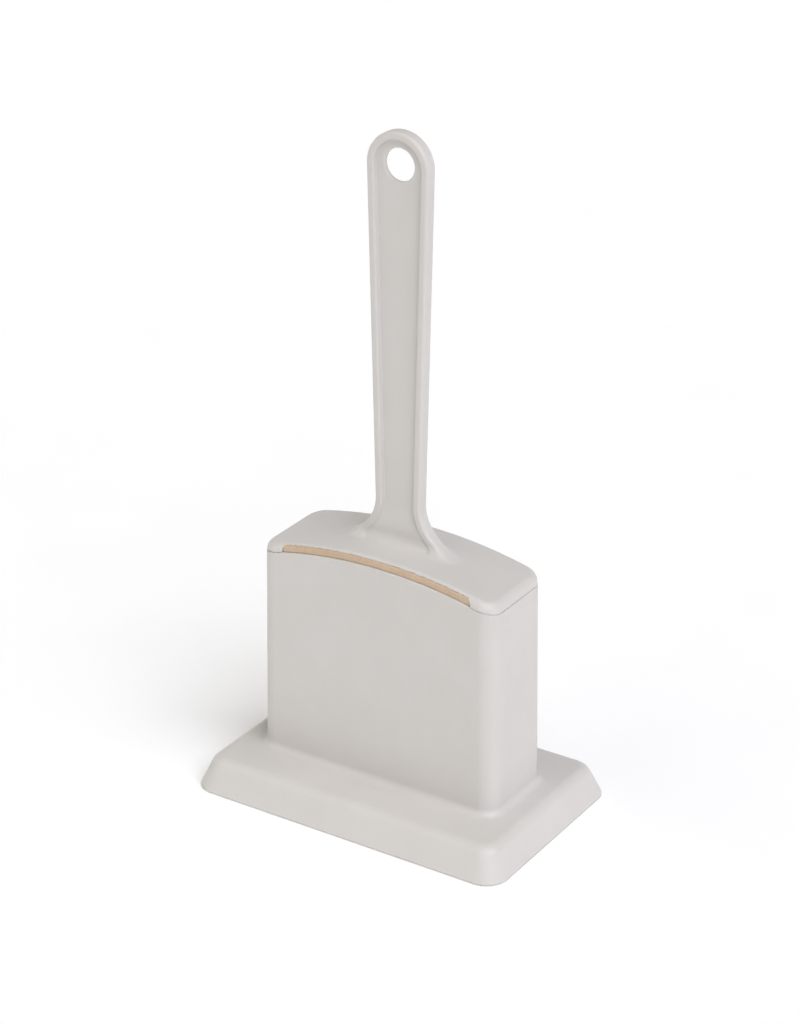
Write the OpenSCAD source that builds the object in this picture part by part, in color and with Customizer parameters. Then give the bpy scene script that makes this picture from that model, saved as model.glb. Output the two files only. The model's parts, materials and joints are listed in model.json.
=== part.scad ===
// Double-sided velvet lint brush parked in its free-standing, self-cleaning case.
// Millimetres, +Z up, origin on the ground at the middle of the base, front facing -Y.

/* [Overall] */
// Height of the parked brush above the ground
total_h = 276.5; // [264:0.5:290]

/* [Base] */
// Width of the base at its foot
base_w = 143; // [138:1:150]
// Depth of the base at its foot
base_d = 90; // [86:1:96]
// Height of the ledge around the case
base_h = 13.6; // [13.2:0.1:15]
// How far each sloping side leans in from foot to ledge
base_lean = 5.2; // [4.4:0.1:6]
// Corner radius of the base in plan
base_r = 9.5; // [8:0.5:12]
// Gap between the base's foot and the ground, which the rubber feet bridge
foot_gap = 0.3; // [0.2:0.1:0.8]

/* [Case] */
// Width of the case at its mouth
case_w = 106.4; // [104:0.2:108]
// Depth of the case at its mouth
case_d = 38.3; // [38:0.1:39.5]
// Corner radius of the case in plan
case_r = 7; // [6:0.5:8]
// Draft of each end wall, from mouth to ledge
draft_x = 1.6; // [1:0.1:1.8]
// Draft of the front and back walls, from mouth to ledge
draft_y = 0.45; // [0.3:0.05:0.6]
// Thickness of the case walls
wall = 2; // [1.8:0.1:2.2]

/* [Hood] */
// Height of the hood's crown, on the centre line
crown_z = 111; // [109:0.5:113]
// Rise of the arched hood from its ends to its crown
hood_rise = 7.1; // [6:0.1:8]
// Height of the hood's skirt, crown surface to parting line
skirt_h = 3.9; // [3.6:0.1:4.4]
// Thickness of the hood's top
hood_t = 1.6; // [1.4:0.1:1.8]
// Width of the window cut in the skirt, front and back
window_w = 86; // [80:1:88]

/* [Handle] */
// Radius of the handle's round top end
grip_r = 13.5; // [13:0.1:14.5]
// Half width of the handle at its neck
neck_half = 10.2; // [9.5:0.1:11]
// Height at which the neck starts to flare
flare_z = 128.5; // [126:0.5:132]
// Radius of the flare
flare_r = 17; // [15:0.5:18]
// Thickness of the handle
grip_t = 5.6; // [5:0.1:6.4]
// Width of the raised rim along the handle's edge
rim_w = 3.3; // [3:0.1:3.6]
// Thickness of the web inside the rim
web_t = 2; // [1.8:0.1:3]
// Radius of the hanging hole
hang_r = 6.4; // [6:0.1:7.2]

/* [Brush head] */
// Half width of the brush head
head_half = 47.5; // [46:0.5:48]
// Height of the head's lower edge
head_z = 24; // [22:1:28]
// Distance from the middle of the head to the face of its pile
pile_face = 13.6; // [13.4:0.1:13.6]

/* [Lint tray] */
// Half width of the lint tray
tray_half = 51.4; // [50:0.1:51.6]
// Distance from the case's centre line to the tray's closed end
tray_reach = 19; // [18.5:0.5:21]

/* [Hidden] */

$fn = 64;
hull_fn = 32;                // facets of the round corners inside a hull
eps = 0.01;                  // thickness of the slabs that a hull joins
over = 1;                    // how far a cutting tool runs past a face
touch = 0.05;                // gap between faces that are pressed together

plastic = [0.87, 0.85, 0.83];
plastic_inside = [0.80, 0.78, 0.75];
velvet = [0.80, 0.66, 0.52];
foam = [0.93, 0.90, 0.84];
steel = [0.70, 0.71, 0.73];
rubber = [0.55, 0.54, 0.53];

// The arch: one cylinder along Y sets the hood's top, and its rim is concentric.
half_w = case_w / 2;
arch_r = (half_w * half_w + hood_rise * hood_rise) / (2 * hood_rise);
arch_z = crown_z - arch_r;
rim_r = arch_r - skirt_h;
parting = 0.2;               // gap between the case's rim and the hood's skirt
window_top = 1.1;            // thickness of the lip left over the window

// Locating lip under the hood, which plugs into the mouth of the case
lip_clear = 0.3;
lip_t = 1.5;
lip_drop = 4;

// Handle
top_z = total_h - grip_r;    // centre of the round top end
hang_z = top_z + 0.5;        // centre of the hanging hole
flare_x = neck_half + flare_r;
foot_z = crown_z - hood_t + 0.2;  // lower end of the grip, inside the thickness of the hood's top
tangent_x = flare_x - flare_r * cos(45);  // where the flare's arc gives way to a 45 degree foot
tangent_z = flare_z - flare_r * sin(45);

// Brush head, from the middle outwards: tongue, shell, foam, velvet
tongue_half_t = 2;
tongue_half_w = 40;
tongue_z = 40;
shell_face = 8.4;
shell_wall = 2.4;
foam_face = 11.7;
join_gap = 0.1;              // each head shell stops this far short of the middle
head_top_r = arch_r - hood_t - 0.6;
head_corner_r = 8;
screw_spots = [[-30, 50], [30, 50], [-30, 88], [30, 88]];
screw_r = 1.45;
screw_hole_r = 1.55;
screw_head_r = 2.8;
screw_head_h = 1.6;
boss_r = 4;

// Wiper pads, from the case wall inwards: carrier, foam, pile
carrier_out = 16.95;
carrier_in = 15.75;
wiper_foam_in = 14.85;
wiper_pile_in = 13.9;
wiper_half = 46;
wiper_z0 = 32;
wiper_z1 = 94;
wiper_margin = 2;
bead_r = 1;

// Inside of the base
skin = 2.2;                  // thickness of the base's sloping skirt and ledge
ledge_in_z = base_h - skin;
plate_z0 = 1.2;
plate_t = 2;
plate_z1 = plate_z0 + plate_t;
plate_w = 134.9;
plate_d = 81.9;
foot_spots = [[-59, -35], [59, -35], [-59, 35], [59, 35]];
foot_r = 5;
foot_socket = 1;
plate_screw_spots = [[-46, -31], [46, -31], [-58.4, 25], [58.4, 25]];
plate_boss_r = 3.2;
plate_screw_l = 7;
plate_screw_head_h = 0.85;
bar = [9.6, 48, 6.8];        // each ballast bar
bar_x = 58.4;
bar_y0 = -29;

// Lint tray
tray_z0 = plate_z1 + 0.15;
tray_z1 = ledge_in_z - 0.35;
tray_wall = 1.4;
tray_floor = 1.4;
tray_clear = 0.35;
tray_back = 40;
pull_half = 16;
pull_t = 1.8;
pull_rise = 2.6;             // height of the pull above the tray's underside
pull_short = 0.6;            // how far inside the foot of the base the pull ends

// A flat slab, eps thick, with a rounded rectangular outline
module slab(w, d, r, z) {
    translate([0, 0, z])
        linear_extrude(eps) rounded(w, d, r);
}

// A rounded rectangle made of circles and squares, so that its corners stay true arcs
module rounded(w, d, r) {
    square([w - 2 * r, d], center = true);
    square([w, d - 2 * r], center = true);
    for (x = [-1, 1], y = [-1, 1])
        translate([x * (w / 2 - r), y * (d / 2 - r)])
            circle(r);
}

// Everything below a cylinder along Y that is concentric with the hood's arch
module under_arch(r) {
    translate([0, 0, arch_z])
        rotate([90, 0, 0])
            cylinder(r = r, h = 2 * base_d, center = true, $fn = 256);
}

// An outline drawn in X and Z, given a thickness from y0 to y1
module upright(y0, y1) {
    translate([0, y1, 0])
        rotate([90, 0, 0])
            linear_extrude(y1 - y0) children();
}

// Turns what is drawn for the back (side = 1) to the front (side = -1)
module on_side(side) {
    mirror([0, side > 0 ? 0 : 1, 0]) children();
}

// Solid outside shape of the flared base
module base_outside() {
    soft_edge = 1.8;
    lean = base_lean * (1 - soft_edge / base_h);
    hull($fn = hull_fn) {
        slab(base_w, base_d, base_r, foot_gap);
        slab(base_w - 2 * lean, base_d - 2 * lean, base_r - 2, base_h - soft_edge);
        slab(base_w - 2 * (base_lean + 1.1), base_d - 2 * (base_lean + 1.1), base_r - 3, base_h - eps);
    }
}

// Hollow of the flared base, open at the bottom
module base_hollow() {
    foot_inset = 2 * skin;
    top_inset = 2 * (skin + base_lean);
    hull($fn = hull_fn) {
        slab(base_w - foot_inset, base_d - foot_inset, base_r - 2, foot_gap - over);
        slab(base_w - top_inset, base_d - top_inset, base_r - 4, ledge_in_z);
    }
}

// The drafted body of the case, inset from its outside face
module tower(inset, z0, z1) {
    hull($fn = hull_fn) {
        slab(case_w + 2 * (draft_x - inset), case_d + 2 * (draft_y - inset), case_r - inset, z0);
        slab(case_w - 2 * inset, case_d - 2 * inset, case_r - inset, z1);
    }
}

// Outline of the brush head in X and Z
module head_outline(inset, top_r) {
    half = head_half - inset;
    low = head_z + inset;
    r = head_corner_r - inset;
    intersection() {
        union() {
            translate([-half, low + r])
                square([2 * half, total_h]);
            translate([-half + r, low])
                square([2 * (half - r), total_h]);
            for (x = [-1, 1])
                translate([x * (half - r), low + r])
                    circle(r);
        }
        translate([0, arch_z])
            circle(top_r, $fn = 256);
    }
}

// Handle outline in X and Z, inset from its edge
module grip_outline(inset) {
    r = grip_r - inset;
    neck = neck_half - inset;
    bend = tangent_x - inset * cos(45);
    bend_z = tangent_z - inset * sin(45);
    foot = bend + bend_z - foot_z;
    polygon([[-neck, flare_z], [neck, flare_z], [r, top_z], [-r, top_z]]);
    translate([0, top_z])
        circle(r);
    difference() {
        polygon([[-foot, foot_z], [foot, foot_z], [bend, bend_z], [bend, flare_z + eps],
                 [-bend, flare_z + eps], [-bend, bend_z]]);
        for (x = [-1, 1])
            translate([x * flare_x, flare_z])
                circle(flare_r + inset, $fn = 128);
    }
}

// ---- Stand ----

module stand_casing() {
    color(plastic)
    intersection() {
        under_arch(rim_r);
        union() {
            difference() {
                union() {
                    base_outside();
                    tower(0, base_h - over, crown_z);
                }
                base_hollow();
                tower(wall, ledge_in_z - over, crown_z + over);
                tray_mouth();
            }
            wiper_beads();
            plate_bosses();
        }
    }
}

// Opening in the back of the base for the lint tray
module tray_mouth() {
    translate([-tray_half - tray_clear, tray_back - 2 * skin, tray_z0 - tray_clear])
        cube([2 * (tray_half + tray_clear), base_d / 2, tray_z1 - tray_z0 + 2 * tray_clear]);
}

// Snap beads on the case walls, above and below each wiper carrier
module wiper_beads() {
    bead_len = 30;
    seat = case_d / 2 - wall + 0.2;
    for (y = [-1, 1], x = [-28, 28], z = [wiper_z0 - bead_r - 0.1, wiper_z1 + bead_r + 0.1])
        translate([x, y * seat, z])
            rotate([0, 90, 0])
                cylinder(r = bead_r, h = bead_len, center = true);
}

// Bosses under the ledge that take the base plate's screws
module plate_bosses() {
    for (p = plate_screw_spots)
        translate([p.x, p.y, plate_z1 + touch])
            difference() {
                cylinder(r = plate_boss_r, h = ledge_in_z - plate_z1 + 0.4);
                translate([0, 0, -over])
                    cylinder(r = screw_hole_r, h = 6 + over);
            }
}

module base_plate() {
    color(plastic_inside)
    difference() {
        translate([0, 0, plate_z0])
            linear_extrude(plate_t) rounded(plate_w, plate_d, base_r - 2);
        for (p = foot_spots)
            translate([p.x, p.y, plate_z0 - over])
                cylinder(r = foot_r + 0.05, h = foot_socket + over);
        for (p = plate_screw_spots)
            translate([p.x, p.y, plate_z0 - over])
                cylinder(r = screw_hole_r + 0.2, h = plate_t + 2 * over);
    }
}

module plate_screws() {
    color(steel)
    for (p = plate_screw_spots)
        translate([p.x, p.y, 0]) {
            translate([0, 0, plate_z0 - plate_screw_head_h - touch])
                cylinder(r = screw_head_r, h = plate_screw_head_h);
            translate([0, 0, plate_z0 - 2 * touch])
                cylinder(r = screw_r, h = plate_screw_l);
        }
}

module rubber_feet() {
    chamfer = 0.6;
    color(rubber)
    for (p = foot_spots)
        translate([p.x, p.y, 0]) {
            cylinder(r1 = foot_r - chamfer, r2 = foot_r, h = chamfer);
            translate([0, 0, chamfer])
                cylinder(r = foot_r, h = plate_z0 + foot_socket - 2 * touch - chamfer);
        }
}

// Steel bar lying between the tray and the base's end
module ballast_bar(side) {
    color(steel)
    translate([side * bar_x - bar.x / 2, bar_y0, plate_z1 + 0.1])
        cube(bar);
}

module ballast_bar_left() { ballast_bar(-1); }
module ballast_bar_right() { ballast_bar(1); }

module wiper_carrier(side) {
    color(plastic_inside)
    on_side(side)
        upright(carrier_in, carrier_out)
            translate([0, (wiper_z0 + wiper_z1) / 2])
                rounded(2 * wiper_half, wiper_z1 - wiper_z0, 3);
}

// One bonded layer of a wiper pad
module wiper_layer(side, y0, y1) {
    on_side(side)
        upright(y0, y1)
            translate([0, (wiper_z0 + wiper_z1) / 2])
                rounded(2 * (wiper_half - wiper_margin), wiper_z1 - wiper_z0 - 2 * wiper_margin, 3);
}

module wiper_carrier_front() { wiper_carrier(-1); }
module wiper_carrier_back() { wiper_carrier(1); }
module wiper_foam_front() { color(foam) wiper_layer(-1, wiper_foam_in, carrier_in); }
module wiper_foam_back() { color(foam) wiper_layer(1, wiper_foam_in, carrier_in); }
module wiper_pile_front() { color(velvet) wiper_layer(-1, wiper_pile_in, wiper_foam_in); }
module wiper_pile_back() { color(velvet) wiper_layer(1, wiper_pile_in, wiper_foam_in); }

// ---- Lint tray, which pulls out of the back of the base ----

module lint_tray() {
    deep = tray_z1 - tray_z0;
    color(plastic)
    union() {
        difference() {
            translate([-tray_half, -tray_reach, tray_z0])
                cube([2 * tray_half, tray_reach + tray_back, deep]);
            translate([-tray_half + tray_wall, -tray_reach + tray_wall, tray_z0 + tray_floor])
                cube([2 * (tray_half - tray_wall), tray_reach + tray_back - 3 * tray_wall, deep]);
        }
        tray_front(deep);
    }
}

// The tray's front carries on the slope of the base, with a lip to pull it by
module tray_front(deep) {
    intersection() {
        base_outside();
        translate([-tray_half, tray_back - tray_wall, tray_z0])
            cube([2 * tray_half, base_d / 2, deep]);
    }
    translate([-pull_half, tray_back, tray_z0 + pull_rise])
        cube([2 * pull_half, base_d / 2 - tray_back - pull_short, pull_t]);
}

// ---- Brush ----

module handle() {
    color(plastic)
    difference() {
        union() {
            grip();
            hood();
            tongue();
        }
        translate([0, 0, hang_z])
            rotate([90, 0, 0])
                cylinder(r = hang_r, h = grip_t + 2 * over, center = true, $fn = 96);
    }
}

module grip() {
    cut = (grip_t - web_t) / 2;
    difference() {
        upright(-grip_t / 2, grip_t / 2) grip_outline(0);
        upright(-grip_t / 2 - over, -grip_t / 2 + cut) grip_outline(rim_w);
        upright(grip_t / 2 - cut, grip_t / 2 + over) grip_outline(rim_w);
    }
}

module hood() {
    inner_w = case_w - 2 * wall;
    inner_d = case_d - 2 * wall;
    difference() {
        intersection() {
            under_arch(arch_r);
            union() {
                difference() {
                    rounded_prism(case_w, case_d, case_r);
                    intersection() {
                        under_arch(arch_r - hood_t);
                        rounded_prism(inner_w, inner_d, case_r - wall);
                    }
                    under_arch(rim_r + parting);
                }
                lip(inner_w - 2 * lip_clear, inner_d - 2 * lip_clear);
            }
        }
        window(-1);
        window(1);
    }
}

module rounded_prism(w, d, r) {
    translate([0, 0, crown_z / 2])
        linear_extrude(crown_z) rounded(w, d, r);
}

module lip(w, d) {
    r = case_r - wall - lip_clear;
    difference() {
        rounded_prism(w, d, r);
        rounded_prism(w - 2 * lip_t, d - 2 * lip_t, r - lip_t);
        under_arch(rim_r - lip_drop);
    }
}

// Window in the skirt and lip of the hood
module window(side) {
    depth = wall + lip_clear + lip_t + over;
    intersection() {
        under_arch(arch_r - window_top);
        translate([-window_w / 2, side * case_d / 2 - depth, crown_z / 2])
            cube([window_w, 2 * depth, crown_z]);
    }
}

// Tongue under the hood, which the two head shells clamp
module tongue() {
    difference() {
        intersection() {
            under_arch(arch_r - hood_t / 2);
            translate([-tongue_half_w, -tongue_half_t, tongue_z])
                cube([2 * tongue_half_w, 2 * tongue_half_t, crown_z - tongue_z]);
        }
        screw_holes(screw_hole_r);
    }
}

module screw_holes(r) {
    for (p = screw_spots)
        translate([p.x, 0, p.y])
            rotate([90, 0, 0])
                cylinder(r = r, h = 4 * pile_face, center = true);
}

// Front half of the head's core: a face plate, a rim, and bosses on the tongue
module head_shell() {
    slack = 0.2;
    difference() {
        union() {
            difference() {
                upright(-shell_face, -join_gap) head_outline(0, head_top_r);
                upright(-shell_face + shell_wall, over)
                    head_outline(shell_wall, head_top_r - shell_wall);
            }
            for (p = screw_spots)
                translate([p.x, -tongue_half_t - touch, p.y])
                    rotate([90, 0, 0])
                        cylinder(r = boss_r, h = shell_face - tongue_half_t - 1);
        }
        translate([-tongue_half_w - slack, -tongue_half_t - slack / 2, head_z + 2 * shell_wall])
            cube([2 * (tongue_half_w + slack), 2 * shell_face, total_h]);
    }
}

module head_shell_front() {
    color(plastic_inside)
    difference() {
        head_shell();
        for (p = screw_spots)
            translate([p.x, 0, p.y])
                rotate([90, 0, 0])
                    cylinder(r = screw_hole_r, h = shell_face - 1);
    }
}

module head_shell_back() {
    color(plastic_inside)
    difference() {
        on_side(-1) head_shell();
        screw_holes(screw_hole_r + 0.1);
        for (p = screw_spots)
            translate([p.x, shell_face + over, p.y])
                rotate([90, 0, 0])
                    cylinder(r = screw_head_r + 0.2, h = screw_head_h + over + 0.2);
    }
}

module foam_pad(side) {
    color(foam)
    on_side(side)
        upright(shell_face, foam_face) head_outline(1, head_top_r - 0.6);
}

module velvet_pad(side) {
    color(velvet)
    on_side(side)
        upright(foam_face, pile_face) head_outline(0, head_top_r);
}

module foam_pad_front() { foam_pad(-1); }
module foam_pad_back() { foam_pad(1); }
module velvet_pad_front() { velvet_pad(-1); }
module velvet_pad_back() { velvet_pad(1); }

module head_screws() {
    color(steel)
    for (p = screw_spots)
        translate([p.x, shell_face - 0.1, p.y])
            rotate([90, 0, 0]) {
                cylinder(r = screw_head_r, h = screw_head_h);
                cylinder(r = screw_r, h = 2 * shell_face - 1.6);
            }
}

stand_casing();
base_plate();
plate_screws();
rubber_feet();
ballast_bar_left();
ballast_bar_right();
wiper_carrier_front();
wiper_carrier_back();
wiper_foam_front();
wiper_foam_back();
wiper_pile_front();
wiper_pile_back();
lint_tray();
handle();
head_shell_front();
head_shell_back();
foam_pad_front();
foam_pad_back();
velvet_pad_front();
velvet_pad_back();
head_screws();
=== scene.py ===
"""Looks of a double-sided velvet lint brush parked in its free-standing, self-cleaning case.

Each moulded piece is a distance field, so that its edges and inside corners are truly round. Shapes
are worked out in millimetres in the CAD frame (+Z up, front facing -Y) and turned into metres as
each mesh is made. Driving sizes come from the CAD nodes' boxes wherever a box holds them.
"""

import json
import math

import bpy
import numpy as np
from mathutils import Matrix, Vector


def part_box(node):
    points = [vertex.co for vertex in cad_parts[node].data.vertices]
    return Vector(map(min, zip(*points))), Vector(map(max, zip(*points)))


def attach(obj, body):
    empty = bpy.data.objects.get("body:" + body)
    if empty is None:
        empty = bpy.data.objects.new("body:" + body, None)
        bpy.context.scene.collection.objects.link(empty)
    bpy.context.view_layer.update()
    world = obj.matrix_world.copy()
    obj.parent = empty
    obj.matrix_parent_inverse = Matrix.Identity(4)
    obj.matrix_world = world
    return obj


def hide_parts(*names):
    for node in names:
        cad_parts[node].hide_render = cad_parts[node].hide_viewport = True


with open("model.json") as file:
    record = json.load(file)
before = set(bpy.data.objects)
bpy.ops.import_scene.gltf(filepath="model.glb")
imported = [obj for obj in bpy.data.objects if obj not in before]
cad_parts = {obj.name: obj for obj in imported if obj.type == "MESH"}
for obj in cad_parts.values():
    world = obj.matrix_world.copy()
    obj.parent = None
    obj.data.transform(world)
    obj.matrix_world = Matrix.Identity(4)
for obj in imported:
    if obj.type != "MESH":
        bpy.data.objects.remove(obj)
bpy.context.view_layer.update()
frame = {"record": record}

MM = 0.001


def box_mm(node):
    """Lowest and highest corner of a CAD node, in millimetres."""
    low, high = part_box(node)
    return low / MM, high / MM


# ---- Sizes, in millimetres where nothing else is said ----------------------------------------

BRUSH_LOW, BRUSH_HIGH = box_mm("handle")
STAND_LOW, STAND_HIGH = box_mm("stand_casing")
PLATE_LOW, PLATE_HIGH = box_mm("base_plate")
TRAY_LOW, TRAY_HIGH = box_mm("lint_tray")
HEIGHT = BRUSH_HIGH.z
HANG_HOLE = next(m for m in frame["record"]["mounts"] if m["name"] == "hang_hole")

# Hood
HALF_W = BRUSH_HIGH.x
HALF_D = BRUSH_HIGH.y
CASE_R = 7.0
WALL = 2.0
HOOD_RISE = 7.1
SKIRT = 3.9
HOOD_T = 1.6
HOOD_EDGE = 3.0
PARTING = 0.01
CROWN_Z = STAND_HIGH.z + SKIRT
ARCH_R = (HALF_W**2 + HOOD_RISE**2) / (2 * HOOD_RISE)
ARCH_Z = CROWN_Z - ARCH_R
RIM_R = ARCH_R - SKIRT
WINDOW_HALF = 43.0
WINDOW_LIP = 1.1
WINDOW_CORNER = 2.2
LIP_CLEAR = 0.3
LIP_T = 1.5
LIP_DROP = 4.0

# Handle
GRIP_R = 13.5
GRIP_HALF_T = 2.8
GRIP_TOP_Z = HEIGHT - GRIP_R
NECK_HALF = 10.2
FLARE_Z = 128.5
FLARE_R = 17.0
FLARE_X = NECK_HALF + FLARE_R
RIM_W = 3.3
WEB_HALF_T = 1.0
WEB_FOOT_T = 1.3
WEB_FOOT_Z = 127.0
WEB_FOOT_H = 12.0
HANG_Z = HANG_HOLE["pos_m"][2] / MM
HANG_R = HANG_HOLE["dims"]["r_mm"]
ROOT_FILLET = 4.0
ROOT_DEPTH = 6.0
TONGUE_HALF_T = 2.0
TONGUE_HALF_W = 40.0

# Case and base
DRAFT_X = 1.6
DRAFT_Y = 0.45
DRAFT_FOOT_Z = 12.6
BEAD_R = 1.0
BEAD_Y = HALF_D - WALL + 0.2
BEAD_X = 28.0
BEAD_HALF = 15.0
WIPER_MID_Z = 63.0
BEAD_OFFSET_Z = 32.1
BASE_R = 9.5
BASE_INNER_R = 8.0
BASE_R_TAPER = 0.18
BASE_LEAN = 0.41
LEDGE_Z = 13.6
LEDGE_IN_Z = 11.4
BASE_EDGE = 3.0
LEDGE_FILLET = 3.0
SKIN = 2.2
PLATE_R = 7.5
FOOT_SPOT = (59.0, 35.0)
FOOT_R = 5.0
FOOT_SOCKET = 1.0
FOOT_H = PLATE_LOW.z + FOOT_SOCKET - 0.1
FOOT_RING_R = 2.7
FOOT_RING_HALF = 0.4
PLATE_SCREWS = ((46.0, -31.0), (58.4, 25.0))
BOSS_R = 3.2

# Screws
SCREW_HOLE_R = 1.55
SCREW_R = 1.45
SCREW_HEAD_R = 2.8
PLATE_SCREW_HEAD = 0.85
HEAD_SCREW_HEAD = 1.6
RECESS_REACH = 1.6
RECESS_HALF_T = 0.4
RECESS_DEPTH = 0.7
THREAD_PITCH = 1.1
THREAD_DEPTH = 0.28
SCREW_STEP = 0.18

# Tray
TRAY_HALF = TRAY_HIGH.x
TRAY_CLEAR = 0.35
TRAY_WALL = 1.4
TRAY_BACK = 40.0
PULL_HALF = 16.0
PULL_Z = 6.85
PULL_HALF_T = 0.9

# Brush head, from the middle outwards
HEAD_LOW, HEAD_HIGH = box_mm("head_shell_front")
HEAD_HALF = HEAD_HIGH.x
HEAD_Z = HEAD_LOW.z
HEAD_R = 8.0
HEAD_TOP_R = ARCH_R - HOOD_T - 0.6
SHELL_FACE = -HEAD_LOW.y
SHELL_WALL = 2.4
SHELL_JOIN = 0.1
HEAD_SCREWS = ((30.0, 50.0), (30.0, 88.0))
HEAD_BOSS_R = 4.0
SCREW_SEAT_DEPTH = 1.8
FOAM_BULGE = 0.45
FOAM_FACE, PILE_FACE = (corner.y for corner in box_mm("velvet_pad_back"))
NAP_ROOM = 0.16
CROWN = 0.3
CROWN_FROM_Z = 66.0
CROWN_H = 42.0
SWELL = 3.4
SWELL_H = 5.0
HEM_R = 1.38
HEM_Y = HALF_D - WALL + 0.1
HEM_CLEAR = 0.07
WIPER_CORNER_R = 3.0
WIPER_NAP_ROOM = 0.15

# Camera and studio, in metres; the lens in millimetres
AZIMUTH = math.radians(32.8)
ELEVATION = math.radians(25.5)
LENS = 102.4
VIEW_Z = 0.1231
VIEW_REACH = 1.1206
FLOOR_R = 4.6
COVE_R = 1.0
COVE_RINGS = 12
BACKDROP_H = 1.3
FLOOR_SIDES = 64


# ---- Distance fields -------------------------------------------------------------------------

SHARP = 0.01


def round_rect(u, v, half_u, half_v, radius):
    """Distance to a rectangle with round corners, in its own plane."""
    du = np.abs(u) - (half_u - radius)
    dv = np.abs(v) - (half_v - radius)
    outside = np.hypot(np.maximum(du, 0), np.maximum(dv, 0))
    return outside + np.minimum(np.maximum(du, dv), 0) - radius


def both(a, b, radius=SHARP):
    """What two solids share, with its new edge rounded."""
    corner = np.hypot(np.maximum(a + radius, 0), np.maximum(b + radius, 0))
    return np.minimum(np.maximum(a, b), -radius) + corner


def either(a, b, radius=SHARP):
    """Two solids joined, with a fillet in the new corner."""
    return -both(-a, -b, radius)


def minus(a, b, radius=SHARP):
    """The first solid without the second, with the new edge rounded."""
    return both(a, -b, radius)


def between(value, low, high):
    """Distance to the slab from low to high."""
    return np.abs(value - (low + high) / 2) - (high - low) / 2


def ease(share):
    """A smooth step from 0 to 1 as the share goes from 0 to 1."""
    share = np.clip(share, 0, 1)
    return share**2 * (3 - 2 * share)


def arch(x, z, radius):
    """Distance to a cylinder along Y that is concentric with the hood's arch."""
    return np.hypot(x, z - ARCH_Z) - radius


# ---- Meshes ----------------------------------------------------------------------------------


def grid_lines(low, high, fine, coarse=None, fine_in=()):
    """Grid lines past both ends, coarse ones outside the stretches of |value| in fine_in."""
    lines = [low - 2 * fine]
    while lines[-1] < high + 2 * fine:
        detailed = coarse is None or any(a <= abs(lines[-1]) <= b for a, b in fine_in)
        lines.append(lines[-1] + (fine if detailed else coarse))
    return np.array(lines)


def node_lines(node, steps, coarse=None, detailed=((), (), ()), spare=0.0):
    """Grid lines around a CAD node's box, with a step for each axis."""
    low, high = box_mm(node)
    return [
        grid_lines(start - spare, end + spare, step, coarse, places)
        for start, end, step, places in zip(low, high, steps, detailed)
    ]


def field_surface(field, lines):
    """Points and quads of the surface where the field is zero, with one point in each cell it crosses."""
    value = field(*np.meshgrid(*lines, indexing="ij", sparse=True))
    inside = value < 0
    cells, points, quads = [], [], []
    for axis in range(3):
        near, far = [slice(None)] * 3, [slice(None)] * 3
        near[axis], far[axis] = slice(None, -1), slice(1, None)
        near, far = tuple(near), tuple(far)
        at = np.argwhere(inside[near] != inside[far])
        here = tuple(at.T)
        first, second = value[near][here], value[far][here]
        point = np.stack([line[index] for line, index in zip(lines, here)], 1)
        point[:, axis] += (lines[axis][here[axis] + 1] - point[:, axis]) * first / (first - second)
        side, other = np.eye(3, dtype=int)[[(axis + 1) % 3, (axis + 2) % 3]]
        corners = (0 * side, side, side + other, other)
        ring = [np.ravel_multi_index((at - corner).T, value.shape) for corner in corners]
        quad = np.stack(ring, 1)
        outward_up = inside[near][here]
        quad[~outward_up] = quad[~outward_up][:, ::-1]
        cells.append(np.concatenate(ring))
        points.append(np.tile(point, (4, 1)))
        quads.append(quad)
    used, owner = np.unique(np.concatenate(cells), return_inverse=True)
    points = np.concatenate(points)
    count = np.bincount(owner)
    co = np.stack([np.bincount(owner, points[:, axis]) / count for axis in range(3)], 1)
    return co, np.searchsorted(used, np.concatenate(quads))


def slope_of(field, co, reach):
    """The field's slope at each point, across twice the reach."""
    ahead = [field(*(co + reach * step).T) - field(*(co - reach * step).T) for step in np.eye(3)]
    return np.stack(ahead, 1) / (2 * reach)


def moulded(name, field, lines, spots):
    """A smooth object of the surface where the field is zero, repeated at each spot."""
    co, quads = field_surface(field, lines)
    fine = min(np.diff(line).min() for line in lines)
    for _ in range(3):
        slope = slope_of(field, co, 0.02)
        push = field(*co.T) / np.maximum((slope**2).sum(1), 0.2)
        co -= np.clip(push, -fine / 2, fine / 2)[:, None] * slope
    normal = slope_of(field, co, fine / 3)
    normal /= np.maximum(np.linalg.norm(normal, axis=1, keepdims=True), 1e-6)
    quads = np.concatenate([quads + len(co) * index for index in range(len(spots))])
    normal = np.tile(normal, (len(spots), 1))
    co = np.concatenate([co + spot for spot in spots])
    mesh = bpy.data.meshes.new(name)
    mesh.from_pydata((co * MM).tolist(), [], quads.tolist())
    mesh.validate()
    mesh.shade_smooth()
    mesh.normals_split_custom_set_from_vertices(normal.tolist())
    made = bpy.data.objects.new(name, mesh)
    bpy.context.scene.collection.objects.link(made)
    return made


def add_piece(name, node, body, slot, field, lines, spots=((0, 0, 0),)):
    """A piece that stands for its CAD node, rides on its body and has its slot's material."""
    made = moulded(name, field, lines, spots)
    made.data.materials.append(MATERIALS[slot])
    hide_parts(node)
    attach(made, body)
    return made


# ---- Materials -------------------------------------------------------------------------------


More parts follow.
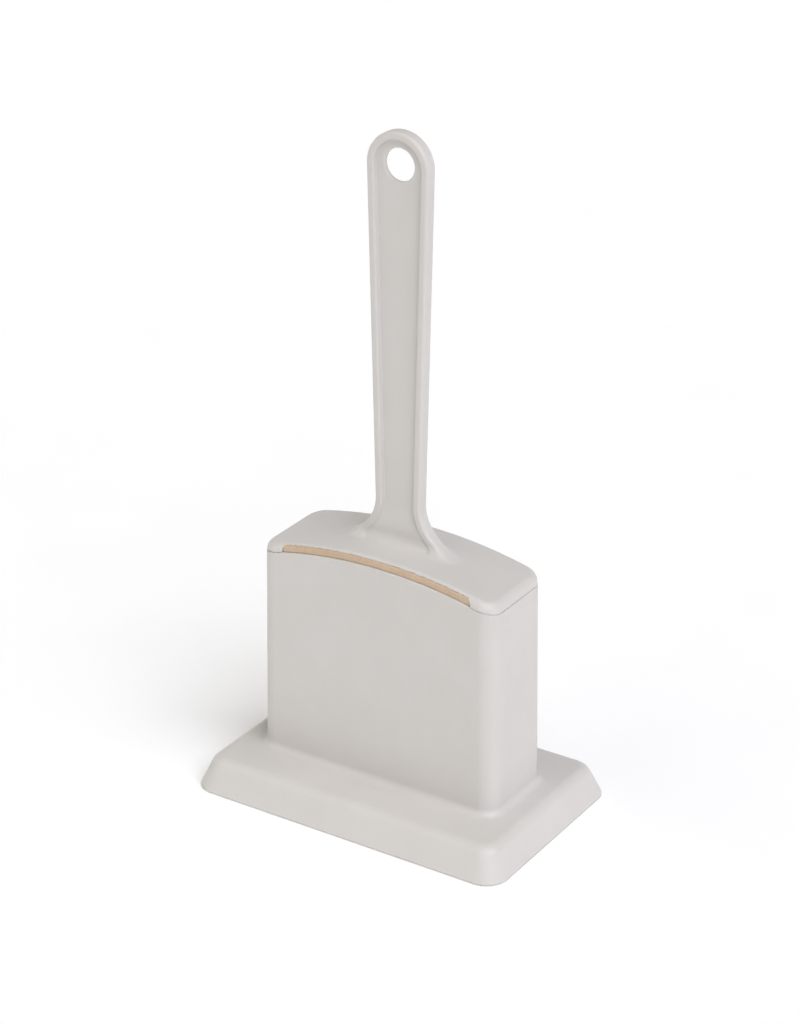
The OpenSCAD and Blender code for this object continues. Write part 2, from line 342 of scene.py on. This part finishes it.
class Nodes:
    """A material's node tree, built up from its Principled shader. Texture sizes are in millimetres.

    A keyword sets the shader's socket of that name, with _ for each space.
    """

    def __init__(self, name, **sockets):
        self.material = bpy.data.materials.new(name)
        self.material.use_nodes = True
        self.tree = self.material.node_tree
        self.shader = self.tree.nodes["Principled BSDF"]
        for socket, value in sockets.items():
            self.shader.inputs[socket.replace("_", " ")].default_value = value
        self.coordinates = self.tree.nodes.new("ShaderNodeTexCoord").outputs["Object"]
        self.height = None

    def stretched(self, stretch):
        """Object coordinates, scaled along each axis."""
        mapping = self.tree.nodes.new("ShaderNodeMapping")
        mapping.inputs["Scale"].default_value = stretch
        self.tree.links.new(self.coordinates, mapping.inputs["Vector"])
        return mapping.outputs["Vector"]

    def noise(self, size, detail=3, roughness=0.5, distortion=0.0, stretch=(1, 1, 1)):
        """Soft noise with features of about the given size."""
        texture = self.tree.nodes.new("ShaderNodeTexNoise")
        texture.inputs["Scale"].default_value = 1 / (size * MM)
        texture.inputs["Detail"].default_value = detail
        texture.inputs["Roughness"].default_value = roughness
        texture.inputs["Distortion"].default_value = distortion
        self.tree.links.new(self.stretched(stretch), texture.inputs["Vector"])
        return texture.outputs["Fac"]

    def cells(self, size):
        """Distance to the middle of the nearest cell, for pores."""
        texture = self.tree.nodes.new("ShaderNodeTexVoronoi")
        texture.inputs["Scale"].default_value = 1 / (size * MM)
        self.tree.links.new(self.coordinates, texture.inputs["Vector"])
        return texture.outputs["Distance"]

    def ramp(self, factor, *stops):
        """Colours along a factor, each stop a place from 0 to 1 and a colour."""
        ramp = self.tree.nodes.new("ShaderNodeValToRGB")
        while len(ramp.color_ramp.elements) < len(stops):
            ramp.color_ramp.elements.new(0.5)
        for element, (at, colour) in zip(ramp.color_ramp.elements, stops):
            element.position = at
            element.color = (*colour, 1)
        self.tree.links.new(factor, ramp.inputs["Fac"])
        return ramp.outputs["Color"]

    def times(self, colour, tint):
        """Two colours multiplied."""
        mix = self.tree.nodes.new("ShaderNodeMix")
        mix.data_type = "RGBA"
        mix.blend_type = "MULTIPLY"
        enabled = {socket.name: socket for socket in mix.inputs if socket.enabled}
        enabled["Factor"].default_value = 1.0
        self.tree.links.new(colour, enabled["A"])
        self.tree.links.new(tint, enabled["B"])
        return next(socket for socket in mix.outputs if socket.enabled)

    def span(self, value, low, high, start=0.3, end=0.7):
        """Carries a factor from start..end over to low..high."""
        scale = self.tree.nodes.new("ShaderNodeMapRange")
        settings = {"From Min": start, "From Max": end, "To Min": low, "To Max": high}
        for socket, number in settings.items():
            scale.inputs[socket].default_value = number
        self.tree.links.new(value, scale.inputs["Value"])
        return scale.outputs["Result"]

    def bump(self, height, depth, strength=1.0):
        """Adds relief of the given depth on top of what is there."""
        bump = self.tree.nodes.new("ShaderNodeBump")
        bump.inputs["Distance"].default_value = depth * MM
        bump.inputs["Strength"].default_value = strength
        self.tree.links.new(height, bump.inputs["Height"])
        if self.height is not None:
            self.tree.links.new(self.height, bump.inputs["Normal"])
        self.height = bump.outputs["Normal"]
        self.tree.links.new(self.height, self.shader.inputs["Normal"])

    def feed(self, socket, value):
        """Links a value to a socket of the shader."""
        self.tree.links.new(value, self.shader.inputs[socket])


def moulded_plastic(name, pale, deep, gloss, glow):
    """Injection-moulded polypropylene: faint flow marks, fine mould grain and a little light inside."""
    nodes = Nodes(
        name,
        IOR=1.49,
        Subsurface_Weight=glow,
        Subsurface_Scale=2.5 * MM,
        Subsurface_Radius=(1.0, 0.85, 0.7),
    )
    clouds = nodes.noise(34, detail=2, distortion=0.4)
    flow = nodes.noise(7, detail=3, stretch=(1, 1, 0.5))
    specks = nodes.noise(0.9, detail=2)
    colour = nodes.ramp(clouds, (0.3, deep), (0.7, pale))
    tint = nodes.ramp(flow, (0.35, (0.992, 0.99, 0.985)), (0.65, (1, 1, 1)))
    colour = nodes.times(colour, tint)
    dust = nodes.ramp(specks, (0.2, (0.97, 0.965, 0.955)), (0.42, (1, 1, 1)))
    nodes.feed("Base Color", nodes.times(colour, dust))
    nodes.feed("Roughness", nodes.span(nodes.noise(5, detail=4), gloss - 0.04, gloss + 0.06))
    nodes.bump(nodes.noise(26, detail=1), 0.10, 0.5)
    nodes.bump(nodes.noise(0.32, detail=2), 0.006, 0.6)
    return nodes.material


def velvet(name, pale, deep, nap):
    """Short tan pile: fine fibres along the nap, brushed patches and a soft sheen."""
    nodes = Nodes(
        name,
        Roughness=0.92,
        Specular_IOR_Level=0.15,
        Sheen_Weight=0.55,
        Sheen_Roughness=0.42,
        Sheen_Tint=(1.0, 0.93, 0.84, 1),
    )
    fibres = nodes.noise(0.24, detail=4, roughness=0.7, stretch=nap)
    brushed = nodes.noise(11, detail=2, distortion=0.8, stretch=(1, 1, 0.45))
    colour = nodes.ramp(fibres, (0.3, deep), (0.68, pale))
    shade = nodes.ramp(brushed, (0.35, (0.93, 0.915, 0.90)), (0.65, (1, 1, 1)))
    nodes.feed("Base Color", nodes.times(colour, shade))
    nodes.bump(brushed, 0.4, 0.2)
    nodes.bump(fibres, 0.16, 0.8)
    return nodes.material


def closed_foam(name):
    """Cream foam with fine open pores on its cut edge, each pore's hollow darkened with painted shade."""
    nodes = Nodes(name, Roughness=0.95, Subsurface_Weight=0.1, Subsurface_Scale=1.5 * MM)
    pores = nodes.cells(0.55)
    # Painted shade: the colour darkens towards each pore's middle, standing in for the shade inside the
    # pore's hollow.
    colour = nodes.ramp(pores, (0.05, (0.53, 0.47, 0.37)), (0.4, (0.74, 0.70, 0.63)))
    clouds = nodes.ramp(nodes.noise(6), (0.3, (0.93, 0.92, 0.88)), (0.7, (1, 1, 1)))
    nodes.feed("Base Color", nodes.times(colour, clouds))
    nodes.bump(pores, 0.18, 0.8)
    return nodes.material


def steel(name, pale, deep, grain, rough):
    """Plated or rolled steel with directional scratches."""
    nodes = Nodes(name, Metallic=1.0)
    streaks = nodes.noise(0.5, detail=5, roughness=0.65, stretch=grain)
    patches = nodes.noise(4, detail=3)
    colour = nodes.ramp(streaks, (0.25, deep), (0.75, pale))
    stain = nodes.ramp(patches, (0.3, (0.86, 0.85, 0.82)), (0.6, (1, 1, 1)))
    nodes.feed("Base Color", nodes.times(colour, stain))
    nodes.feed("Roughness", nodes.span(patches, rough, rough + 0.2))
    nodes.bump(streaks, 0.02, 0.5)
    return nodes.material


def soft_rubber(name):
    """Grey rubber with a dusty, finely pitted skin."""
    nodes = Nodes(name, Roughness=0.85)
    dust = nodes.noise(1.6, detail=4)
    colour = nodes.ramp(dust, (0.3, (0.27, 0.26, 0.25)), (0.72, (0.38, 0.37, 0.355)))
    nodes.feed("Base Color", colour)
    nodes.bump(nodes.noise(0.25, detail=2), 0.03, 0.6)
    return nodes.material


MATERIALS = {
    "shell_plastic": moulded_plastic(
        "shell_plastic", pale=(0.625, 0.602, 0.577), deep=(0.607, 0.583, 0.556), gloss=0.42, glow=0.25
    ),
    "inner_plastic": moulded_plastic(
        "inner_plastic", pale=(0.59, 0.565, 0.535), deep=(0.568, 0.542, 0.508), gloss=0.52, glow=0.15
    ),
    "velvet": velvet("velvet", pale=(0.67, 0.525, 0.387), deep=(0.525, 0.37, 0.247), nap=(1, 1, 0.35)),
    "wiper_pile": velvet("wiper_pile", pale=(0.66, 0.515, 0.38), deep=(0.50, 0.355, 0.235), nap=(1, 1, 0.5)),
    "foam": closed_foam("foam"),
    "screw_steel": steel(
        "screw_steel", pale=(0.74, 0.74, 0.73), deep=(0.56, 0.56, 0.57), grain=(1, 1, 1), rough=0.28
    ),
    "ballast_steel": steel(
        "ballast_steel", pale=(0.50, 0.50, 0.50), deep=(0.33, 0.33, 0.34), grain=(1, 0.04, 1), rough=0.4
    ),
    "rubber": soft_rubber("rubber"),
}


# ---- The brush's handle and hood -------------------------------------------------------------


def grip_outline(x, z):
    """Distance to the handle's outline, in its own plane."""
    side = np.abs(x)
    slope = (GRIP_R - NECK_HALF) / (GRIP_TOP_Z - FLARE_Z)
    shank = (side - NECK_HALF - slope * (z - FLARE_Z)) / math.hypot(1, slope)
    top = np.hypot(x, z - GRIP_TOP_Z) - GRIP_R
    across, down = FLARE_X - side, FLARE_Z - z
    arc = FLARE_R - np.hypot(across, down)
    foot = FLARE_R - (across + down) * math.sqrt(0.5)
    flare = np.where(down > across, foot, arc)
    return np.where(z > GRIP_TOP_Z, top, np.where(z > FLARE_Z, shank, flare))


def grip_field(x, y, z):
    """The grip: an I-section whose web thickens at the foot, with the hanging hole."""
    outline = grip_outline(x, z)
    whole = both(outline, np.abs(y) - GRIP_HALF_T, 1.2)
    web = WEB_HALF_T + WEB_FOOT_T * ease((WEB_FOOT_Z - z) / WEB_FOOT_H)
    channel = both(outline + RIM_W, web - np.abs(y), 0.9)
    whole = minus(whole, channel, 0.8)
    hole = np.hypot(x, z - HANG_Z) - HANG_R
    return minus(whole, hole, 0.5)


def case_outline(x, y, inset):
    """Distance to the case's plan, inset from its outside face."""
    return round_rect(x, y, HALF_W - inset, HALF_D - inset, CASE_R - inset)


def hood_ring(x, y, z):
    """The locating lip under the hood."""
    inset = WALL + LIP_CLEAR
    ring = minus(case_outline(x, y, inset), case_outline(x, y, inset + LIP_T))
    return both(both(ring, arch(x, z, ARCH_R - HOOD_T / 2)), -arch(x, z, RIM_R - LIP_DROP), 0.4)


def handle_field(x, y, z):
    """The grip, the hood with its windows and lip, and the tongue that holds the head."""
    hood = both(case_outline(x, y, 0), arch(x, z, ARCH_R), HOOD_EDGE)
    grip = both(grip_field(x, y, z), CROWN_Z - ROOT_DEPTH - z)
    hollow = both(case_outline(x, y, WALL), arch(x, z, ARCH_R - HOOD_T), 0.5)
    body = minus(either(hood, grip, ROOT_FILLET), hollow)
    body = both(body, -arch(x, z, RIM_R + PARTING), 0.05)
    body = either(body, hood_ring(x, y, z), 0.2)
    window = both(np.abs(x) - WINDOW_HALF, arch(x, z, ARCH_R - WINDOW_LIP), WINDOW_CORNER)
    window = both(window, HALF_D - WALL - LIP_CLEAR - LIP_T - 1 - np.abs(y))
    body = minus(body, window, 0.45)
    tongue = both(np.abs(x) - TONGUE_HALF_W, np.abs(y) - TONGUE_HALF_T, 0.5)
    tongue = both(both(tongue, BRUSH_LOW.z - z, 0.5), arch(x, z, ARCH_R - HOOD_T / 2))
    return either(body, tongue, 0.5)


def make_handle():
    """The handle, finest at the window, the foot and the hanging hole."""
    lines = (
        grid_lines(-HALF_W, HALF_W, 0.5),
        grid_lines(-HALF_D, HALF_D, 0.5, 1.1, ((0, 7), (13, HALF_D))),
        grid_lines(BRUSH_LOW.z, HEIGHT, 0.45, 1.5, ((40, 42), (97, 134), (247, HEIGHT))),
    )
    add_piece("handle_moulding", "handle", "brush", "shell_plastic", handle_field, lines)


# ---- The case --------------------------------------------------------------------------------


def base_field(x, y, z, inset=0, corner=BASE_R):
    """Distance to the base's sloping sides, whose corners grow tighter upwards."""
    lean = inset + BASE_LEAN * (z - STAND_LOW.z)
    sides = round_rect(x, y, STAND_HIGH.x - lean, STAND_HIGH.y - lean, corner - BASE_R_TAPER * z)
    return sides / math.hypot(1, BASE_LEAN)


def tower_field(x, y, z, inset):
    """Distance to the drafted sides of the case."""
    draft = (CROWN_Z - z) / (CROWN_Z - DRAFT_FOOT_Z)
    half_x = HALF_W + DRAFT_X * draft - inset
    half_y = HALF_D + DRAFT_Y * draft - inset
    return round_rect(x, y, half_x, half_y, CASE_R - inset)


def cylinders(x, y, spots, radius):
    """Distance to upright cylinders at the spots, left and right."""
    found = [np.hypot(np.abs(x) - spot_x, y - spot_y) - radius for spot_x, spot_y in spots]
    return np.minimum.reduce(found)


def casing_field(x, y, z):
    """The case and its base, open below and above, with beads for the wipers and bosses for the screws."""
    base = both(base_field(x, y, z), z - LEDGE_Z, BASE_EDGE)
    tower = both(tower_field(x, y, z, 0), DRAFT_FOOT_Z - z)
    body = either(both(base, STAND_LOW.z - z, 0.5), tower, LEDGE_FILLET)
    body = both(body, arch(x, z, RIM_R), 0.05)
    under = both(base_field(x, y, z, SKIN, BASE_INNER_R), z - LEDGE_IN_Z, 1.2)
    room = both(tower_field(x, y, z, WALL), LEDGE_IN_Z - 1 - z)
    body = minus(minus(body, under, 0.4), room, 0.5)
    mouth = both(
        np.abs(x) - TRAY_HALF - TRAY_CLEAR,
        between(z, TRAY_LOW.z - TRAY_CLEAR, TRAY_HIGH.z + TRAY_CLEAR),
        0.6,
    )
    body = minus(body, both(mouth, TRAY_BACK - 2 * SKIN - y), 0.3)
    bead = np.hypot(np.abs(y) - BEAD_Y, np.abs(z - WIPER_MID_Z) - BEAD_OFFSET_Z) - BEAD_R
    body = either(body, both(bead, np.abs(np.abs(x) - BEAD_X) - BEAD_HALF, 0.4), 0.4)
    hole = cylinders(x, y, PLATE_SCREWS, SCREW_HOLE_R)
    boss = minus(cylinders(x, y, PLATE_SCREWS, BOSS_R), hole, 0.3)
    return either(body, both(boss, between(z, PLATE_HIGH.z + 0.05, LEDGE_IN_Z + 0.6), 0.3), 0.4)


def make_casing():
    """The case, finest at its corners, its rim and its base."""
    lines = (
        grid_lines(STAND_LOW.x, STAND_HIGH.x, 0.6, 1.8, ((44, 55), (62, 72))),
        grid_lines(STAND_LOW.y, STAND_HIGH.y, 0.6, 1.8, ((9, 21), (34, 46))),
        grid_lines(STAND_LOW.z, STAND_HIGH.z, 0.6, 2.4, ((0, 18), (29, 33), (93, STAND_HIGH.z))),
    )
    add_piece("casing_moulding", "stand_casing", "stand", "shell_plastic", casing_field, lines)


# ---- Under the case --------------------------------------------------------------------------


def tray_field(x, y, z):
    """The lint tray: a trough, a front in line with the base's side, and a pull."""
    height = between(z, TRAY_LOW.z, TRAY_HIGH.z)
    trough = both(np.abs(x) - TRAY_HALF, between(y, TRAY_LOW.y, TRAY_BACK - 0.5), 1.5)
    front = both(base_field(x, y, z), TRAY_BACK - TRAY_WALL - y)
    front = both(front, np.abs(x) - TRAY_HALF, 0.6)
    body = both(either(trough, front), height, 0.4)
    room = both(
        np.abs(x) - TRAY_HALF + TRAY_WALL,
        between(y, TRAY_LOW.y + TRAY_WALL, TRAY_BACK - 2 * TRAY_WALL),
        1.2,
    )
    body = minus(body, both(room, TRAY_LOW.z + TRAY_WALL - z, 0.9), 0.4)
    pull = both(np.abs(x) - PULL_HALF, between(y, TRAY_BACK - 2, TRAY_HIGH.y), 1.2)
    pull = both(pull, between(z, PULL_Z - PULL_HALF_T, PULL_Z + PULL_HALF_T), 0.6)
    return either(body, pull, 0.9)


def make_tray():
    detailed = (((13, 18), (48, 52)), ((16, 20), (36, 46)), ((0, 20),))
    lines = node_lines("lint_tray", (0.5, 0.5, 0.4), 1.6, detailed)
    add_piece("tray_moulding", "lint_tray", "tray", "shell_plastic", tray_field, lines)


def plate_field(x, y, z):
    """The plate under the base, with sockets for the feet."""
    plan = round_rect(x, y, PLATE_HIGH.x, PLATE_HIGH.y, PLATE_R)
    plate = both(plan, between(z, PLATE_LOW.z, PLATE_HIGH.z), 0.4)
    socket = both(cylinders(x, np.abs(y), (FOOT_SPOT,), FOOT_R + 0.05), z - PLATE_LOW.z - FOOT_SOCKET)
    return minus(minus(plate, socket, 0.2), cylinders(x, y, PLATE_SCREWS, SCREW_HOLE_R + 0.2), 0.2)


def make_base_plate():
    detailed = (((43, 49), (53, 68)), ((21, 42),), ((0, 4),))
    lines = node_lines("base_plate", (0.5, 0.5, 0.35), 2.0, detailed)
    add_piece("base_plate_moulding", "base_plate", "stand", "inner_plastic", plate_field, lines)


def foot_field(x, y, z):
    """One rubber foot, with a ring pressed into its sole."""
    radius = np.hypot(x, y)
    pad = both(radius - FOOT_R, between(z, 0, FOOT_H), 0.4)
    return minus(pad, both(np.abs(radius - FOOT_RING_R) - FOOT_RING_HALF, z - 0.3, 0.1), 0.15)


def make_feet():
    across = grid_lines(-FOOT_R, FOOT_R, 0.3)
    lines = [across, across, grid_lines(0, FOOT_H, 0.2)]
    spots = [(side * FOOT_SPOT[0], way * FOOT_SPOT[1], 0) for side in (-1, 1) for way in (-1, 1)]
    add_piece("feet_rubber", "rubber_feet", "stand", "rubber", foot_field, lines, spots)


def bar_field(low, high):
    """Distance to a ballast bar that fills the given box."""
    middle, half = (low + high) / 2, (high - low) / 2

    def field(x, y, z):
        section = round_rect(x - middle.x, z - middle.z, half.x, half.z, 0.6)
        return both(section, np.abs(y - middle.y) - half.y, 0.3)

    return field


def make_ballast():
    for side in ("left", "right"):
        node = f"ballast_bar_{side}"
        lines = node_lines(node, (0.4, 0.6, 0.4))
        add_piece(f"steel_bar_{side}", node, "stand", "ballast_steel", bar_field(*box_mm(node)), lines)


# ---- Screws ----------------------------------------------------------------------------------


def screw_field(across, along, depth, head_h, length):
    """A pan-head screw with a cross recess; depth runs in from the face of its head."""
    radius = np.hypot(across, along)
    head = both(radius - SCREW_HEAD_R, between(depth, 0, head_h), 0.45)
    wing = both(np.abs(across) - RECESS_HALF_T, np.abs(along) - RECESS_REACH, 0.1)
    other_wing = both(np.abs(along) - RECESS_HALF_T, np.abs(across) - RECESS_REACH, 0.1)
    recess = both(either(wing, other_wing, 0.15), depth + 0.35 * radius - RECESS_DEPTH)
    turn = np.arctan2(along, across) / (2 * math.pi)
    groove = 2 * np.abs((depth / THREAD_PITCH - turn) % 1 - 0.5)
    shank = both(radius - SCREW_R + THREAD_DEPTH * groove, between(depth, head_h / 2, length), 0.5)
    return minus(either(head, shank, 0.2), recess, 0.08)


def make_screws():
    """The plate's screws, heads down, and the head's screws, which go in from the back."""
    reach = grid_lines(-SCREW_HEAD_R, SCREW_HEAD_R, SCREW_STEP)
    low, high = box_mm("plate_screws")
    plate_length = high.z - low.z
    add_piece(
        "screws_plate", "plate_screws", "stand", "screw_steel",
        field=lambda x, y, z: screw_field(x, y, z, PLATE_SCREW_HEAD, plate_length),
        lines=[reach, reach, grid_lines(0, plate_length, SCREW_STEP)],
        spots=[(side * x, y, low.z) for side in (-1, 1) for x, y in PLATE_SCREWS],
    )
    low, high = box_mm("head_screws")
    head_length = high.y - low.y
    add_piece(
        "screws_head", "head_screws", "brush", "screw_steel",
        field=lambda x, y, z: screw_field(x, z, -y, HEAD_SCREW_HEAD, head_length),
        lines=[reach, grid_lines(-head_length, 0, SCREW_STEP), reach],
        spots=[(side * x, high.y, z) for side in (-1, 1) for x, z in HEAD_SCREWS],
    )


# ---- The brush head --------------------------------------------------------------------------


def head_plan(x, z, inset, top_r=HEAD_TOP_R):
    """Distance to the head's outline: round lower corners, and a top that follows the arch."""
    sides = round_rect(x, z - HEAD_Z - inset - HEIGHT, HEAD_HALF - inset, HEIGHT, HEAD_R - inset)
    return both(sides, arch(x, z, top_r), 1.0)


def shell_field(x, out, z):
    """Half of the head's core; out runs from the middle to its own face."""
    body = both(head_plan(x, z, 0), between(out, SHELL_JOIN, SHELL_FACE), 0.7)
    room = both(head_plan(x, z, SHELL_WALL, HEAD_TOP_R - SHELL_WALL), out - SHELL_FACE + SHELL_WALL, 0.8)
    boss = cylinders(x, z, HEAD_SCREWS, HEAD_BOSS_R)
    boss = both(boss, between(out, TONGUE_HALF_T + 0.05, SHELL_FACE - 1), 0.3)
    seat = both(np.abs(x) - TONGUE_HALF_W - 0.2, out - TONGUE_HALF_T - 0.1)
    seat = both(seat, HEAD_Z + 2 * SHELL_WALL - z)
    body = minus(either(minus(body, room, 0.3), boss, 0.5), seat, 0.1)
    bore = both(cylinders(x, z, HEAD_SCREWS, SCREW_HOLE_R + 0.1), out - SHELL_FACE + 1)
    return minus(body, bore, 0.1)


def back_shell_field(x, out, z):
    """The half that the screws go in by, with a sunk seat for each head."""
    sunk = both(cylinders(x, z, HEAD_SCREWS, SCREW_HEAD_R + 0.2), SHELL_FACE - SCREW_SEAT_DEPTH - out)
    bore = cylinders(x, z, HEAD_SCREWS, SCREW_HOLE_R + 0.1)
    return minus(minus(shell_field(x, out, z), bore, 0.1), sunk, 0.1)


def foam_field(x, out, z):
    """Foam under the pile, squeezed so that its cut edge bulges."""
    middle, half = (SHELL_FACE + FOAM_FACE) / 2, (FOAM_FACE - SHELL_FACE) / 2
    bulge = FOAM_BULGE * (1 - ((out - middle) / half) ** 2)
    return both(head_plan(x, z, 1.0) - bulge, np.abs(out - middle) - half, 0.4)


def nap(x, z):
    """Height of the brushed pile: broad waves and fine rows that run up the brush."""
    broad = np.sin(x / 6.1 + 1.7 * np.sin(z / 11.0)) + np.sin(z / 7.3 + 1.3 * np.sin(x / 9.0))
    rows = np.sin(x / 0.62 + 1.9 * np.sin(z / 5.3) + 0.8 * np.sin(z / 1.7))
    return 0.05 * broad + 0.03 * rows


def velvet_field(x, out, z):
    """Velvet on the foam: its edges rolled over, and its hem bulging out through the hood's window."""
    crown = CROWN * (x / HEAD_HALF) ** 2 + CROWN * np.minimum((z - CROWN_FROM_Z) / CROWN_H, 0) ** 2
    swell = SWELL * ease((arch(x, z, RIM_R) + SWELL_H) / SWELL_H)
    face = out - PILE_FACE + NAP_ROOM + crown - nap(x, z) - swell
    plan = head_plan(x, z, 0.15, ARCH_R - HOOD_T - 0.1)
    pad = both(both(plan, face / np.hypot(1, 0.7 * SWELL / SWELL_H), 1.2), FOAM_FACE - out, 0.35)
    hem = round_rect(out - HEM_Y, arch(x, z, RIM_R + HEM_R + HEM_CLEAR), HEM_R, HEM_R, 0.4)
    hem = both(hem - nap(x, z) / 2, np.abs(x) - WINDOW_HALF - 0.2, 1.0)
    return either(pad, hem, 0.5)


def make_head():
    """Both halves of the head, each a shell, a foam pad and a velvet pad."""
    for side, way, shell in (("front", -1, shell_field), ("back", 1, back_shell_field)):
        parts = (
            ("head_shell", "shell_half", "inner_plastic", shell, (0.7, 0.5, 0.7), 0),
            ("foam_pad", "cushion_foam", "foam", foam_field, (0.7, 0.4, 0.7), 0),
            ("velvet_pad", "cushion_velvet", "velvet", velvet_field, (0.45, 0.35, 0.45), SWELL + HEM_R),
        )
        for part, name, slot, field, steps, spare in parts:
            node = f"{part}_{side}"
            facing = lambda x, y, z, field=field: field(x, way * y, z)
            lines = node_lines(node, steps, spare=spare)
            made = add_piece(f"{name}_{side}", node, "brush", slot, facing, lines)


# ---- The wipers inside the case --------------------------------------------------------------


def wiper_layer(low, high, edge, relief=None):
    """A flat layer of a wiper, low and high being its CAD box; relief lowers its inner face."""
    middle, half = (low + high) / 2, (high - low) / 2
    inward = -1 if middle.y > 0 else 1

    def field(x, y, z):
        plan = round_rect(x - middle.x, z - middle.z, half.x, half.z, WIPER_CORNER_R)
        depth = np.abs(y - middle.y) - half.y
        if relief is not None:
            depth = np.maximum(depth, inward * (y - middle.y) - half.y + relief(x, z))
        return both(plan, depth, edge)

    return field


def make_wipers():
    """On each wall of the case a carrier, a foam pad and a pile pad."""
    for side in ("front", "back"):
        parts = (
            ("wiper_carrier", "carrier", "inner_plastic", 0.3, None, 0.9),
            ("wiper_foam", "pad_foam", "foam", 0.25, None, 0.9),
            ("wiper_pile", "pad_pile", "wiper_pile", 0.42, lambda x, z: WIPER_NAP_ROOM - nap(x, z), 0.5),
        )
        for part, name, slot, edge, relief, step in parts:
            node = f"{part}_{side}"
            field = wiper_layer(*box_mm(node), edge, relief)
            lines = node_lines(node, (step, 0.25, step))
            made = add_piece(f"{name}_{side}", node, "stand", slot, field, lines)


# ---- Camera, light and floor -----------------------------------------------------------------


def make_camera():
    """The view from the front right, a little above."""
    back = Vector((
        math.sin(AZIMUTH) * math.cos(ELEVATION),
        -math.cos(AZIMUTH) * math.cos(ELEVATION),
        math.sin(ELEVATION),
    ))
    camera = bpy.data.objects.new("camera", bpy.data.cameras.new("camera"))
    camera.data.sensor_width = 36
    camera.data.lens = LENS
    camera.data.shift_x = -0.0008
    camera.data.shift_y = 0.0006
    camera.location = Vector((0, 0, VIEW_Z)) + back * VIEW_REACH
    camera.rotation_euler = back.to_track_quat("Z", "Y").to_euler()
    bpy.context.scene.collection.objects.link(camera)
    bpy.context.scene.camera = camera


def make_light(name, kind, towards, energy, **settings):
    """A lamp that shines at the object from the given place."""
    light = bpy.data.lights.new(name, kind)
    light.energy = energy
    for setting, value in settings.items():
        setattr(light, setting, value)
    lamp = bpy.data.objects.new(name, light)
    lamp.location = towards
    aim = Vector((0, 0, 0.12)) - lamp.location
    lamp.rotation_euler = aim.to_track_quat("-Z", "Y").to_euler()
    bpy.context.scene.collection.objects.link(lamp)


def make_floor():
    """A round pale floor whose rim curves up into a low backdrop."""
    paint = Nodes("floor_paint", Roughness=0.95, Emission_Color=(1, 1, 1, 1), Emission_Strength=0.11)
    mottle = paint.ramp(paint.noise(60), (0.3, (0.93, 0.93, 0.93)), (0.7, (0.95, 0.95, 0.95)))
    paint.feed("Base Color", mottle)
    climbs = np.linspace(0, math.pi / 2, COVE_RINGS)
    rings = [(FLOOR_R + COVE_R * math.sin(climb), COVE_R * (1 - math.cos(climb))) for climb in climbs]
    rings.append((FLOOR_R + COVE_R, BACKDROP_H))
    turns = np.linspace(0, 2 * math.pi, FLOOR_SIDES, endpoint=False)
    points, faces = [], [tuple(range(FLOOR_SIDES))]
    for reach, height in rings:
        points += [(reach * math.cos(turn), reach * math.sin(turn), height) for turn in turns]
    for ring in range(len(rings) - 1):
        for side in range(FLOOR_SIDES):
            here = FLOOR_SIDES * ring + side
            beside = FLOOR_SIDES * ring + (side + 1) % FLOOR_SIDES
            faces.append((here + FLOOR_SIDES, beside + FLOOR_SIDES, beside, here))
    sheet = bpy.data.meshes.new("floor")
    sheet.from_pydata(points, [], faces)
    sheet.shade_smooth()
    sheet.materials.append(paint.material)
    floor = bpy.data.objects.new("floor", sheet)
    bpy.context.scene.collection.objects.link(floor)


def make_studio():
    """Soft light on a pale floor: a key and a side light from the front right, and a warm fill."""
    world = bpy.data.worlds.new("studio")
    world.use_nodes = True
    world.node_tree.nodes["Background"].inputs["Color"].default_value = (1, 1, 1, 1)
    world.node_tree.nodes["Background"].inputs["Strength"].default_value = 0.28
    bpy.context.scene.world = world
    bpy.context.scene.view_settings.view_transform = "Standard"
    soft = math.radians(50)
    make_light("key", "SUN", (1.0, -0.5, 1.6), 2.15, angle=soft, color=(0.955, 0.96, 1.0))
    make_light("side", "SUN", (1.2, -0.9, 0.9), 0.38, angle=soft, color=(0.74, 0.77, 1.0))
    make_light("fill", "SUN", (-0.9, -1.0, 1.4), 0.37, angle=soft, color=(1.0, 0.9, 0.6))
    make_floor()


make_camera()
make_studio()
make_handle()
make_casing()
make_tray()
make_base_plate()
make_feet()
make_ballast()
make_screws()
make_head()
make_wipers()
